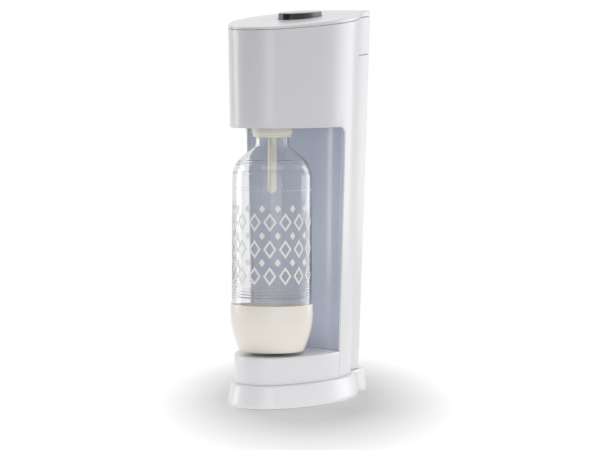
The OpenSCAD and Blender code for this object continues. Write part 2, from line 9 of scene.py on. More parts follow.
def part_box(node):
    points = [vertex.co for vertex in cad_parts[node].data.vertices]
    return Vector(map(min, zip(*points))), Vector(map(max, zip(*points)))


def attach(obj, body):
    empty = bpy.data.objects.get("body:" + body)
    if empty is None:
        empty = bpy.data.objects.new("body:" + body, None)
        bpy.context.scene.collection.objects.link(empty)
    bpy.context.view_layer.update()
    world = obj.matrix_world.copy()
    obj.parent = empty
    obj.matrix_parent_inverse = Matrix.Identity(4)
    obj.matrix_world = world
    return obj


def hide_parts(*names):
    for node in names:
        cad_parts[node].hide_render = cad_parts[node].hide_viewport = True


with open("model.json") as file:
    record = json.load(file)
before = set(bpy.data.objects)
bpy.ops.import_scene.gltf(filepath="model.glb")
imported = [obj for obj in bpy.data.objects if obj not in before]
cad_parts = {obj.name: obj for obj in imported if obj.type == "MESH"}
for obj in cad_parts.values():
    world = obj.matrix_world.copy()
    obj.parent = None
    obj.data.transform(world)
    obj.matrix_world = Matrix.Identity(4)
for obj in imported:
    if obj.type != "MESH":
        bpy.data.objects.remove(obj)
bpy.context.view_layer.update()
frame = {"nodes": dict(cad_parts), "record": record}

bl_info = {
    "name": "Sparkling water maker",
    "version": (1, 0, 0),
    "blender": (4, 5, 0),
    "location": "3D View > Sidebar > Water maker",
    "description": "Dresses the water maker's solids with smooth mouldings, finishes and a studio",
    "category": "Object",
}

MM = 0.001
TOP = {n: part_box(n)[1] for n in ("base_plate", "bottle_stand", "bottle", "bottle_cup")}
LOW = {n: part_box(n)[0] for n in ("base_plate", "bottle", "bottle_cup")}


def length(name, text, default):
    """A length in metres that a user may change."""
    return bpy.props.FloatProperty(
        name=name, description=text, default=default, unit="LENGTH", precision=5)


def number(name, text, default):
    """A plain number that a user may change."""
    return bpy.props.FloatProperty(name=name, description=text, default=default)


def angle(name, text, degrees):
    """An angle that a user may change."""
    return bpy.props.FloatProperty(
        name=name, description=text, default=radians(degrees), subtype="ANGLE")


def colour(name, text, rgb):
    """A colour that a user may change."""
    return bpy.props.FloatVectorProperty(
        name=name, description=text, default=rgb, size=3, min=0.0, max=1.0, subtype="COLOR")


class CasingSizes(bpy.types.PropertyGroup):
    """Sizes of the casing mouldings"""
    width: length("Width", "Width of the body at the lid", 126 * MM)
    nose: length("Nose", "From the widest section forward to the nose", 113 * MM)
    side_radius: length("Side radius", "Radius of the long side curves", 165 * MM)
    draft: angle("Draft", "Taper of the sides", 1.2)
    wall: length("Wall", "Thickness of the casing", 2.5 * MM)
    rim: length("Rim", "Rounding of the casing's cut edges", 0.75 * MM)
    seam_y: length("Seam", "Where the casing ends and the rear covers start", 68 * MM)
    seam: length("Seam gap", "Gap of the visible seams", 0.4 * MM)
    rear_width: length("Rear width", "Width of the block at the back", 94 * MM)
    rear_reach: length("Rear reach", "From the widest section back to the rear face", 108 * MM)
    rear_corner: length("Rear corner", "Corner radius of the block at the back", 12 * MM)
    rear_split: length("Rear split", "Height of the seam between the rear covers", 380 * MM)
    lid_seam: length("Lid seam", "Height of the lid seam over the widest section", 416.3 * MM)
    lid_slope: angle("Lid slope", "Slope of the lid", 4.9)
    lid_height: length("Lid height", "Height of the lid above its seam", 5 * MM)
    lid_rise: angle("Lid rise", "How much steeper the lid's top is than its seam", 0.8)
    groove: length("Groove", "Height of the groove under the lid", 0.45 * MM)
    base_top: length("Base top", "Height of the top of the base", TOP["base_plate"].z)
    base_low: length("Base low", "Height of the lower edge of the base", LOW["base_plate"].z)
    base_flare: length("Base flare", "How far the lower edge of the base stands out", 8.2 * MM)
    base_ledge: length("Base ledge", "How far the upper edge of the base stands out", 4.2 * MM)
    base_edge: length("Base edge", "Rounding of the upper edge of the base", 3 * MM)
    base_fall: length("Base fall", "How far the ledge of the base falls to its edge", 0.6 * MM)
    base_skirt: length("Base skirt", "How far the side of the base hangs below its plate", 0.8 * MM)
    foot_width: length("Foot width", "Width of the rear foot", 88 * MM)
    foot_reach: length("Foot reach", "From the widest section back to the rear foot's end", 113 * MM)
    foot_corner: length("Foot corner", "Corner radius of the rear foot", 15 * MM)
    foot_flare: length("Foot flare", "How far the rear foot spreads downward", 4 * MM)
    stand_top: length("Stand top", "Height of the top of the bottle stand", TOP["bottle_stand"].z)
    stand_corner: length("Stand corner", "Corner radius at the lower rear of the stand", 7 * MM)
    stand_edge: length("Stand edge", "Rounding of the stand's upper edge", 2.4 * MM)
    stand_foot: length("Stand foot", "Gap under the stand", 0.2 * MM)
    stand_gap: length("Stand gap", "Gap between the stand and the column", 1.3 * MM)
    bay_top: length("Bay top", "Height of the underside of the head", 302 * MM)
    bay_corner: length("Bay corner", "Corner radius at the top of the bay", 9 * MM)
    bay_edge: length("Bay edge", "Front edge of the column's sides", 2 * MM)
    bay_radius: length("Bay radius", "Radius of the concave wall behind the bottle", 82 * MM)
    bottle_y: length("Bottle axis", "Place of the bottle axis along the depth", -57 * MM)
    neck_opening: length("Neck opening", "Radius of the opening in the underside of the head", 28 * MM)


class ButtonSizes(bpy.types.PropertyGroup):
    """Sizes of the push button"""
    half_width: length("Half width", "Half width of the button", 20 * MM)
    half_length: length("Half length", "Half length of the button", 37 * MM)
    place: length("Place", "Place of the button along the depth", 13 * MM)
    proud: length("Proud", "Height of the dark band above the lid", 5.6 * MM)
    cap: length("Cap", "Height of the light cap", 0.8 * MM)
    level: angle("Level", "How much flatter the button's top is than the lid seam", 1.2)
    stem: length("Stem", "Radius of the stem", 5 * MM)


class BottleSizes(bpy.types.PropertyGroup):
    """Sizes of the bottle and its cup"""
    radius: length("Radius", "Outer radius of the bottle", 43.4 * MM)
    wall: length("Wall", "Wall of the bottle", 1.4 * MM)
    neck: length("Neck", "Outer radius of the neck", 18 * MM)
    neck_low: length("Neck foot", "Height where the straight neck starts", 282 * MM)
    shoulder: length("Shoulder", "Radius of the rounded shoulder under the cone", 31 * MM)
    cone: angle("Cone", "Slope of the cone under the neck, from the upright", 52)
    heel: length("Heel", "Radius of the rounded heel", 36 * MM)
    cup_foot: length("Cup foot", "Radius of the base cup at its foot", 35.2 * MM)
    cup_wall: length("Cup wall", "Wall of the base cup", 1.3 * MM)
    fill_line: length("Fill line", "Height of the dotted fill line", 235 * MM)


class Finishes(bpy.types.PropertyGroup):
    """Colours of the finishes"""
    casing: colour("Casing", "Gloss white casing", (0.75, 0.75, 0.775))
    liner: colour("Liner", "Blue-grey bay liner", (0.6, 0.65, 0.775))
    ivory: colour("Ivory", "Ivory mouldings", (0.86, 0.82, 0.75))
    band: colour("Button band", "Near-black band of the button", (0.012, 0.012, 0.014))
    cap: colour("Button cap", "Light grey top of the button", (0.55, 0.55, 0.58))
    inner: colour("Inner plastic", "Grey of the inner mouldings", (0.16, 0.165, 0.18))
    rubber: colour("Rubber", "Feet and seals", (0.018, 0.018, 0.019))
    hose: colour("Hose", "Gas tube", (0.054, 0.054, 0.057))
    steel: colour("Steel", "Steel works", (0.50, 0.51, 0.53))
    alloy: colour("Alloy", "Aluminium works", (0.58, 0.60, 0.62))
    brass: colour("Brass", "Brass fittings", (0.55, 0.38, 0.14))
    clear: colour("Clear", "Tint of the clear bottle", (0.92, 0.925, 0.935))
    ink: colour("Ink", "White print on the bottle", (0.87, 0.85, 0.81))


class StageSizes(bpy.types.PropertyGroup):
    """Camera and light of the studio"""
    turn: angle("Turn", "Camera's turn round the object from its front", 25)
    height: length("Camera height", "Height of the camera", 373 * MM)
    distance: length("Distance", "From the camera to the bottle axis along the view", 2840 * MM)
    aside: length("Aside", "Sideways offset of the bottle axis in the view", -30.4 * MM)
    horizon: number("Horizon", "Image row of the horizon", 62.0)
    focal: number("Focal length", "Focal length in image columns", 2614.0)
    roll: angle("Roll", "Camera's roll", 0.23)


def arc(cx, cy, r, a0, a1, n):
    """Points on an arc, angles in radians."""
    turns = [a0 + (a1 - a0) * i / n for i in range(n + 1)]
    return [(cx + r * cos(a), cy + r * sin(a)) for a in turns]


def quarter(n, first=0):
    """Angles of a quarter turn in n steps, from the first step wanted."""
    return [pi / 2 * i / n for i in range(first, n + 1)]


def circle(n):
    """Angles of a full turn in n steps."""
    return [2 * pi * i / n for i in range(n)]


def mirrored(half):
    """Full outline from the left end round the nose to the right end, from its right half."""
    return [(-x, y) for x, y in reversed(half[1:])] + half


def looped(half):
    """Closed outline from its right half, whose two ends lie on the middle line."""
    return [(-x, y) for x, y in reversed(half[1:-1])] + half


def lens_form(c):
    """Side centre offset, nose radius, nose centre and the angle where they meet."""
    e = c.side_radius - c.width / 2
    r = (c.side_radius ** 2 - e ** 2 - c.nose ** 2) / (2 * (c.side_radius - c.nose))
    return e, r, r - c.nose, atan2(r - c.nose, e)


def lens_half(c, g, stops, counts):
    """Right half of the lens outline grown by g: nose arc, then side arcs up to each stop in depth."""
    e, r, yc, a = lens_form(c)
    side = c.side_radius + g
    pts = arc(0, yc, r + g, -pi / 2, a, counts[0])
    for stop, n in zip(stops, counts[1:]):
        b = asin(stop / side)
        pts += arc(-e, 0, side, a, b, n)[1:]
        a = b
    return pts


def growth(c, z):
    """Growth of the body outline at a height."""
    return (z - c.lid_seam) * tan(c.draft)


def seam_height(c, y):
    """Height of the sloping lid seam at a depth."""
    return c.lid_seam + y * tan(c.lid_slope)


def level(pts, z):
    """Outline laid at a height."""
    return [Vector((x, y, z)) for x, y in pts]


def sloped(c, pts, dz, rise=0.0):
    """Outline laid on the sloping lid plane, raised by dz and by a further slope."""
    return [Vector((x, y, seam_height(c, y) + dz + y * rise)) for x, y in pts]


def block_half(w, y0, y1, r):
    """Right half of a block with rounded rear corners, from its front to the middle of its back."""
    return [(w, y0)] + arc(w - r, y1 - r, r, 0, pi / 2, 10) + [(0, y1)]


def between(low, high, n):
    """Rings from the low one to the high one in n steps."""
    return [[a.lerp(b, t / n) for a, b in zip(low, high)] for t in range(n + 1)]


def skin(bm, rings, closed=True, cap_low=False, cap_high=False):
    """Quads through rings of points; returns the rings of vertices."""
    rows = [[bm.verts.new(p) for p in ring] for ring in rings]
    return stitch(bm, rows, closed, cap_low, cap_high)


def stitch(bm, rows, closed=True, cap_low=False, cap_high=False):
    """Quads through rings of vertices."""
    n = len(rows[0])
    for low, high in zip(rows, rows[1:]):
        for i in range(n if closed else n - 1):
            j = (i + 1) % n
            quad = []
            for v in (low[i], low[j], high[j], high[i]):
                if v not in quad:
                    quad.append(v)
            if len(quad) > 2:
                bm.faces.new(quad)
    if cap_low:
        bm.faces.new(list(reversed(rows[0])))
    if cap_high:
        bm.faces.new(rows[-1])
    return rows


def turned(bm, profile, centre, steps):
    """Surface of revolution about an upright axis from (radius, height) points."""
    x, y = centre
    rows = []
    for r, z in profile:
        if r == 0.0:
            rows.append([bm.verts.new((x, y, z))] * steps)
        else:
            rows.append([bm.verts.new((x + r * cos(a), y + r * sin(a), z)) for a in circle(steps)])
    stitch(bm, rows)


def settle(bm, name, material, body, nodes, smooth=35, modifiers=()):
    """Turns a mesh into a finished piece; edges of more than smooth degrees stay sharp."""
    mesh = bpy.data.meshes.new(name)
    bm.to_mesh(mesh)
    bm.free()
    obj = bpy.data.objects.new(name, mesh)
    bpy.context.scene.collection.objects.link(obj)
    mesh.materials.append(finish(material))
    for kind, values in modifiers:
        m = obj.modifiers.new(kind.title(), kind)
        for key, value in values.items():
            setattr(m, key, value)
    if modifiers:
        graph = bpy.context.evaluated_depsgraph_get()
        final = bpy.data.meshes.new_from_object(obj.evaluated_get(graph))
        obj.modifiers.clear()
        obj.data = final
        final.name = name
    obj.data.shade_smooth()
    obj.data.set_sharp_from_angle(angle=radians(smooth))
    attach(obj, body)
    if nodes:
        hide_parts(*nodes)


def thick(c):
    """Modifiers that give a casing sheet its wall and round its cut edges."""
    wall = {"thickness": c.wall, "offset": -1.0, "use_even_offset": True}
    rounding = {"width": c.rim, "segments": 4, "use_clamp_overlap": False, "limit_method": "ANGLE",
                "angle_limit": radians(50)}
    return (("SOLIDIFY", wall), ("BEVEL", rounding))


# Finishes


def new_group(name, inputs, outputs):
    """Empty shader node group with named sockets."""
    group = bpy.data.node_groups.new(name, "ShaderNodeTree")
    for label, kind, value in inputs:
        s = group.interface.new_socket(name=label, in_out="INPUT", socket_type=kind)
        s.default_value = value
    for label, kind in outputs:
        group.interface.new_socket(name=label, in_out="OUTPUT", socket_type=kind)
    return group, group.nodes.new("NodeGroupInput"), group.nodes.new("NodeGroupOutput")


def add(tree, kind, **values):
    """Node with settings."""
    node = tree.nodes.new(kind)
    for key, value in values.items():
        setattr(node, key, value)
    return node


def noise(tree, coords, scale, detail):
    """Noise texture; scale is a number or a socket."""
    node = add(tree, "ShaderNodeTexNoise")
    tree.links.new(coords, node.inputs["Vector"])
    if isinstance(scale, (int, float)):
        node.inputs["Scale"].default_value = scale
    else:
        tree.links.new(scale, node.inputs["Scale"])
    node.inputs["Detail"].default_value = detail
    return node.outputs["Fac"]


def remap(tree, value, low, high, low_to, high_to):
    """Maps a value from one range to another; ends are numbers or sockets."""
    node = add(tree, "ShaderNodeMapRange")
    ends = {"Value": value, "From Min": low, "From Max": high, "To Min": low_to, "To Max": high_to}
    for socket, v in ends.items():
        if isinstance(v, (int, float)):
            node.inputs[socket].default_value = v
        else:
            tree.links.new(v, node.inputs[socket])
    return node.outputs["Result"]


def blend(tree, fac, a, b):
    """Colour mix of two colours, each a socket or a colour."""
    node = add(tree, "ShaderNodeMix", data_type="RGBA")
    for i, v in ((0, fac), (6, a), (7, b)):
        if isinstance(v, (int, float, tuple)):
            node.inputs[i].default_value = v
        else:
            tree.links.new(v, node.inputs[i])
    return node.outputs[2]


def moulded_group():
    """Moulded plastic: slow colour mottle, smudges in the roughness and a fine moulded grain."""
    group, gi, go = new_group(
        "moulded_surface",
        (("Colour", "NodeSocketColor", (0.8, 0.8, 0.8, 1)), ("Mottle", "NodeSocketFloat", 0.03),
         ("Smooth", "NodeSocketFloat", 0.18), ("Smudged", "NodeSocketFloat", 0.3),
         ("Grain Scale", "NodeSocketFloat", 900.0)),
        (("Colour", "NodeSocketColor"), ("Roughness", "NodeSocketFloat"), ("Height", "NodeSocketFloat")))
    mottle_scale, smudge_scale, mottle_value = 14.0, 45.0, 0.6
    place = add(group, "ShaderNodeTexCoord").outputs["Object"]
    slow = noise(group, place, mottle_scale, detail=3.0)
    dim = add(group, "ShaderNodeMath", operation="MULTIPLY")
    group.links.new(remap(group, slow, 0.35, 0.65, 0.0, 1.0), dim.inputs[0])
    group.links.new(gi.outputs["Mottle"], dim.inputs[1])
    hue = add(group, "ShaderNodeHueSaturation")
    hue.inputs["Value"].default_value = mottle_value
    group.links.new(gi.outputs["Colour"], hue.inputs["Color"])
    mottled = blend(group, dim.outputs[0], gi.outputs["Colour"], hue.outputs["Color"])
    group.links.new(mottled, go.inputs["Colour"])
    touched = noise(group, place, smudge_scale, detail=5.0)
    smudge = remap(group, touched, 0.42, 0.72, gi.outputs["Smooth"], gi.outputs["Smudged"])
    group.links.new(smudge, go.inputs["Roughness"])
    group.links.new(noise(group, place, gi.outputs["Grain Scale"], detail=2.0), go.inputs["Height"])
    return group


def metal_group():
    """Worked metal: drawn streaks in colour, roughness and height along one axis."""
    group, gi, go = new_group(
        "worked_metal",
        (("Colour", "NodeSocketColor", (0.6, 0.6, 0.6, 1)),
         ("Streak", "NodeSocketVector", (1.0, 1.0, 1.0)),
         ("Polished", "NodeSocketFloat", 0.22), ("Dull", "NodeSocketFloat", 0.42)),
        (("Colour", "NodeSocketColor"), ("Roughness", "NodeSocketFloat"), ("Height", "NodeSocketFloat")))
    streak_scale, cloud_scale, tarnish, cover = 900.0, 60.0, 0.75, 0.35
    place = add(group, "ShaderNodeTexCoord").outputs["Object"]
    stretch = add(group, "ShaderNodeVectorMath", operation="MULTIPLY")
    group.links.new(place, stretch.inputs[0])
    group.links.new(gi.outputs["Streak"], stretch.inputs[1])
    lines = noise(group, stretch.outputs[0], streak_scale, detail=3.0)
    cloud = noise(group, place, cloud_scale, detail=4.0)
    dark = blend(group, tarnish, gi.outputs["Colour"], (0.0, 0.0, 0.0, 1.0))
    shade = remap(group, cloud, 0.35, 0.7, 0.0, cover)
    group.links.new(blend(group, shade, gi.outputs["Colour"], dark), go.inputs["Colour"])
    drawn = remap(group, lines, 0.3, 0.7, gi.outputs["Polished"], gi.outputs["Dull"])
    group.links.new(drawn, go.inputs["Roughness"])
    group.links.new(lines, go.inputs["Height"])
    return group


def finish_of(name, group, inputs, bump, **sockets):
    """Material with one Principled shader fed by a surface group."""
    mat = bpy.data.materials.new("finish_" + name)
    mat.use_nodes = True
    tree = mat.node_tree
    shader = tree.nodes["Principled BSDF"]
    surface = add(tree, "ShaderNodeGroup", node_tree=group)
    for key, value in inputs.items():
        surface.inputs[key].default_value = value
    tree.links.new(surface.outputs["Colour"], shader.inputs["Base Color"])
    tree.links.new(surface.outputs["Roughness"], shader.inputs["Roughness"])
    if bump:
        relief = add(tree, "ShaderNodeBump")
        relief.inputs["Strength"].default_value = bump[0]
        relief.inputs["Distance"].default_value = bump[1]
        tree.links.new(surface.outputs["Height"], relief.inputs["Height"])
        tree.links.new(relief.outputs["Normal"], shader.inputs["Normal"])
    for key, value in sockets.items():
        shader.inputs[key.replace("_", " ")].default_value = value
    return mat


def rgba(rgb):
    """Colour with full alpha."""
    return (rgb[0], rgb[1], rgb[2], 1.0)


def finish(name):
    """The material of that name, made by the finishes operator."""
    return bpy.data.materials["finish_" + name]


class WATERMAKER_OT_finishes(bpy.types.Operator):
    """Make the finishes and put them on the solids that stay in view"""
    bl_idname = "watermaker.finishes"
    bl_label = "Finishes"

    def execute(self, context):
        f = context.scene.watermaker_finishes
        plastic, metal = moulded_group(), metal_group()

        def moulded(name, rgb, mottle, smooth, smudged, grain, bump, **sockets):
            values = {"Colour": rgba(rgb), "Mottle": mottle, "Smooth": smooth, "Smudged": smudged,
                      "Grain Scale": grain}
            return finish_of(name, plastic, values, bump, **sockets)

        def worked(name, rgb, streak, polished, dull, bump):
            values = {"Colour": rgba(rgb), "Streak": streak, "Polished": polished, "Dull": dull}
            return finish_of(name, metal, values, bump, Metallic=1.0)

        # Mottle, smoothest and most smudged roughness, grain scale, strength and depth of the grain
        moulded("white_casing", f.casing, 0.01, 0.28, 0.285, 700.0, (0.02, 0.0002), IOR=1.6)
        moulded("liner", f.liner, 0.02, 0.16, 0.19, 900.0, (0.03, 0.0002))
        moulded("ivory", f.ivory, 0.01, 0.3, 0.34, 800.0, (0.04, 0.0002))
        moulded("button_dark", f.band, 0.2, 0.3, 0.36, 700.0, (0.02, 0.0002))
        moulded("button_light", f.cap, 0.04, 0.22, 0.32, 900.0, (0.04, 0.0002))
        moulded("grey_plastic", f.inner, 0.1, 0.42, 0.56, 1400.0, (0.12, 0.0003))
        moulded("rubber", f.rubber, 0.3, 0.6, 0.8, 1800.0, (0.2, 0.0003))
        moulded("hose", f.hose, 0.3, 0.5, 0.66, 1500.0, (0.15, 0.0003))
        moulded("ink", f.ink, 0.03, 0.3, 0.4, 1500.0, (0.04, 0.0001))
        self.see_through(moulded("clear_bottle", f.clear, 0.02, 0.012, 0.016, 60.0, None,
                                 Transmission_Weight=1.0, IOR=1.4))
        # Stretch of the streaks, polished and dull roughness, strength and depth of the streaks
        worked("steel", f.steel, (1.0, 0.06, 1.0), 0.24, 0.4, (0.06, 0.0001))
        worked("cylinder_alloy", f.alloy, (0.5, 0.5, 1.0), 0.3, 0.44, (0.05, 0.0001))
        worked("cast_alloy", f.alloy, (1.0, 1.0, 1.0), 0.42, 0.6, (0.25, 0.0003))
        worked("brass", f.brass, (1.0, 1.0, 0.15), 0.2, 0.36, (0.05, 0.0001))
        slots = {row["node"]: row["material_slot"] for row in frame["record"]["subparts"]}
        for node, obj in frame["nodes"].items():
            obj.data.materials.clear()
            obj.data.materials.append(finish(slots[node]))
        return {"FINISHED"}

    def see_through(self, mat):
        """Lets light through the clear plastic, and paints shade on it where it turns away from the eye,
        in place of dark reflections at its edges
        """
        shade, edge_shade_from, edge_shade_to, edge_shade_tint = 0.02, 0.7, 0.98, (0.28, 0.29, 0.31, 1.0)
        tree = mat.node_tree
        shader = tree.nodes["Principled BSDF"]
        path = add(tree, "ShaderNodeLightPath")
        unseen = add(tree, "ShaderNodeMath", operation="MAXIMUM")
        tree.links.new(path.outputs["Is Shadow Ray"], unseen.inputs[0])
        tree.links.new(path.outputs["Is Diffuse Ray"], unseen.inputs[1])
        tree.links.new(remap(tree, unseen.outputs[0], 0.0, 1.0, 1.0, shade), shader.inputs["Alpha"])
        # Painted shade: the clear colour is blended towards dark grey where the surface turns away from
        # the eye, standing in for dark reflections along the outline
        facing = add(tree, "ShaderNodeLayerWeight").outputs["Facing"]
        rim = remap(tree, facing, edge_shade_from, edge_shade_to, 0.0, 1.0)
        tint = shader.inputs["Base Color"].links[0].from_socket
        tree.links.new(blend(tree, rim, tint, edge_shade_tint), shader.inputs["Base Color"])


# Casing


def base_ring(c, lens_g, foot_g):
    """Outline of the base: the lens in front, the rear foot behind."""
    e = lens_form(c)[0]
    w = c.foot_width / 2 + foot_g
    meet = sqrt((c.side_radius + lens_g) ** 2 - (e + w) ** 2)
    front = lens_half(c, lens_g, (meet,), (16, 44))
    back = block_half(w, meet, c.foot_reach + foot_g, c.foot_corner)[1:]
    return looped(front + back)


class WATERMAKER_OT_base(bpy.types.Operator):
    """Make the base moulding with its flared side and rounded shoulder"""
    bl_idname = "watermaker.base"
    bl_label = "Base"

    def execute(self, context):
        c = context.scene.watermaker_casing
        inner = growth(c, c.base_top)
        low = c.base_low - c.base_skirt
        high = c.base_top - low
        edge, lip, turn_in, foot_turn = c.base_edge, 0.8 * MM, 3 * MM, 0.4
        soft = 0.3 * lip
        side = high - c.base_fall - edge
        # Each ring: height, growth of the lens in front and of the foot behind
        rings = [(0.0, c.base_flare - turn_in, -turn_in), (0.0, c.base_flare - lip, -lip),
                 (soft, c.base_flare - soft, -soft), (lip, c.base_flare, 0.0)]
        for i in range(1, 7):
            t = i / 6
            z = lip + (side - lip) * t
            rings.append((z, c.base_flare - (c.base_flare - c.base_ledge) * t, -c.foot_flare / 2 * t))
        for a in quarter(8, 1):
            inward = 1 - cos(a)
            rings.append((side + edge * sin(a), c.base_ledge - edge * inward,
                          -c.foot_flare / 2 * (1 + foot_turn * inward)))
        rings.append((high, 0.0, -c.foot_flare))
        bm = bmesh.new()
        skin(bm, [level(base_ring(c, inner + lens_g, foot_g), low + z) for z, lens_g, foot_g in rings],
             cap_high=True)
        settle(bm, "base_moulding", "white_casing", "casing", ["base_plate"])
        return {"FINISHED"}


class WATERMAKER_OT_stand(bpy.types.Operator):
    """Make the bottle stand with its rounded lower rear corner"""
    bl_idname = "watermaker.stand"
    bl_label = "Bottle stand"

    def execute(self, context):
        c = context.scene.watermaker_casing
        back = c.bay_edge - c.stand_gap
        r, edge, foot = c.stand_corner, c.stand_edge, c.stand_foot
        # Each row: height, rear end and growth of the outline
        rows = [(c.base_top + r + (r - foot) * sin(a), c.bay_edge - r + (r - c.stand_gap) * cos(a), 0.0)
                for a in [q - pi / 2 for q in quarter(12)]]
        rows.append((c.stand_top - edge, back, 0.0))
        rows += [(c.stand_top - edge + edge * sin(a), back, -edge * (1 - cos(a))) for a in quarter(6, 1)]
        bm = bmesh.new()
        rings = []
        for z, y, g in rows:
            half = lens_half(c, growth(c, z) + g, (y,), (16, 40))
            rings.append(level(mirrored(half), z))
        skin(bm, rings, cap_low=True, cap_high=True)
        wall, lap = c.bay_radius + c.wall - c.seam, 1 * MM
        limit = lens_half(c, growth(c, c.stand_top) - c.wall - c.seam, (back,), (2, 2))[-1][0]
        half = [(0.0, back - lap), (limit, back - lap)]
        half += arc(0, c.bottle_y, wall, acos(limit / wall), pi / 2, 24)
        ring = looped(half)
        slab = [level(ring, z) for z in (c.stand_top - c.wall, c.stand_top)]
        skin(bm, slab, cap_low=True, cap_high=True)
        settle(bm, "bottle_stand_block", "white_casing", "casing", ["bottle_stand"])
        return {"FINISHED"}


class WATERMAKER_OT_shell(bpy.types.Operator):
    """Make the one-piece shell of head and column, with the floor of the head"""
    bl_idname = "watermaker.shell"
    bl_label = "Body shell"

    def execute(self, context):
        c = context.scene.watermaker_casing
        counts = (18, 34, 26)
        n_back = counts[2]
        split = c.bay_edge - c.bay_corner
        low = mirrored(lens_half(c, growth(c, c.bay_top), (split, c.seam_y), counts))
        high = mirrored(lens_half(c, 0.0, (split, c.seam_y), counts))
        bottom, top = level(low, c.bay_top), sloped(c, high, 0.0)
        bm = bmesh.new()
        rows = skin(bm, between(bottom, top, 8), closed=False)
        # Front edge of the column as heights and depths: lower corner, straight, upper corner
        edge = [(c.base_top + c.stand_corner * (1 - cos(a)), c.bay_edge - c.stand_corner * (1 - sin(a)))
                for a in [0.0, *quarter(10, 3)]]
        start, end = c.base_top + c.stand_corner, c.bay_top - c.bay_corner
        edge += [(start + (end - start) * i / 8, c.bay_edge) for i in range(1, 9)]
        edge += [(end + c.bay_corner * sin(a), c.bay_edge - c.bay_corner * (1 - cos(a)))
                 for a in quarter(8, 1)[:-2]]
        e = lens_form(c)[0]
        strips = ([], [])
        for z, y in edge:
            side = c.side_radius + growth(c, z)
            pts = arc(-e, 0, side, asin(y / side), asin(c.seam_y / side), n_back)
            strips[0].append([bm.verts.new((x, v, z)) for x, v in pts])
            strips[1].append([bm.verts.new((-x, v, z)) for x, v in reversed(pts)])
        strips[0].append(rows[0][-n_back - 1:])
        strips[1].append(rows[0][:n_back + 1])
        for strip in strips:
            stitch(bm, strip, closed=False)
        settle(bm, "body_moulding", "white_casing", "casing", ["body_shell"],
               modifiers=thick(c))
        self.head_floor(c)
        return {"FINISHED"}

    def head_floor(self, c):
        """Underside of the head with the opening for the bottle's neck"""
        behind, thickness, gap, across = 25 * MM, 3 * MM, 0.15 * MM, 40
        bm = bmesh.new()
        ring = mirrored(lens_half(c, growth(c, c.bay_top) - c.wall, (c.bay_edge + behind,), (18, 46)))
        (x0, y0), x1 = ring[-1], ring[0][0]
        ring += [(x0 + (x1 - x0) * i / across, y0) for i in range(1, across)]
        hole = []
        for x, y in ring:
            a = atan2(y - c.bottle_y, x)
            hole.append((c.neck_opening * cos(a), c.bottle_y + c.neck_opening * sin(a)))
        low, high = c.bay_top + gap, c.bay_top + thickness
        rings = ((hole, high), (hole, low), (ring, low), (ring, high), (hole, high))
        skin(bm, [level(pts, z) for pts, z in rings])
        for f in bm.faces:
            f.normal_flip()
        bmesh.ops.remove_doubles(bm, verts=bm.verts, dist=1e-6)
        settle(bm, "head_floor", "white_casing", "casing", [])


class WATERMAKER_OT_liner(bpy.types.Operator):
    """Make the concave liner of the bottle bay"""
    bl_idname = "watermaker.liner"
    bl_label = "Bay liner"

    def execute(self, context):
        c = context.scene.watermaker_casing
        e = lens_form(c)[0]
        clear, side_gap, behind = 0.3 * MM, 0.05 * MM, 1.2 * MM
        bm = bmesh.new()
        rows = []
        for i in range(13):
            z = c.stand_top + clear + (c.bay_top - c.stand_top - 2 * clear) * i / 12
            side = c.side_radius + growth(c, z) - c.wall - side_gap
            d = sqrt(e ** 2 + c.bottle_y ** 2)
            across = (side ** 2 - c.bay_radius ** 2 - d ** 2) / (2 * c.bay_radius * d)
            a = atan2(c.bottle_y, e) + acos(max(-1, min(1, across)))
            y = max(c.bottle_y + c.bay_radius * sin(a), c.bay_edge + behind)
            end = Vector((sqrt(side ** 2 - y ** 2) - e, y - c.bottle_y))
            a = atan2(end.y, end.x)
            pts = arc(0, c.bottle_y, end.length, a, pi - a, 48)
            rows.append(level(pts, z))
        skin(bm, rows, closed=False)
        for f in bm.faces:
            f.normal_flip()
        settle(bm, "bay_wall", "liner", "casing", ["cavity_liner"],
               modifiers=(("SOLIDIFY", {"thickness": c.wall, "offset": 1.0}),))
        return {"FINISHED"}


def lid_half(c, g):
    """Right half of the lid outline grown by g: lens in front, block behind."""
    blend_in = 4 * MM
    front = lens_half(c, g, (c.seam_y - blend_in,), (18, 60))
    back = block_half(c.rear_width / 2 + g, c.seam_y + blend_in, c.rear_reach + g, c.rear_corner)
    return front + back


def button_oval(b, g, turns):
    """Points of the button's oval grown by g, at the given turns."""
    return [((b.half_width + g) * cos(a), b.place + (b.half_length + g) * sin(a)) for a in turns]


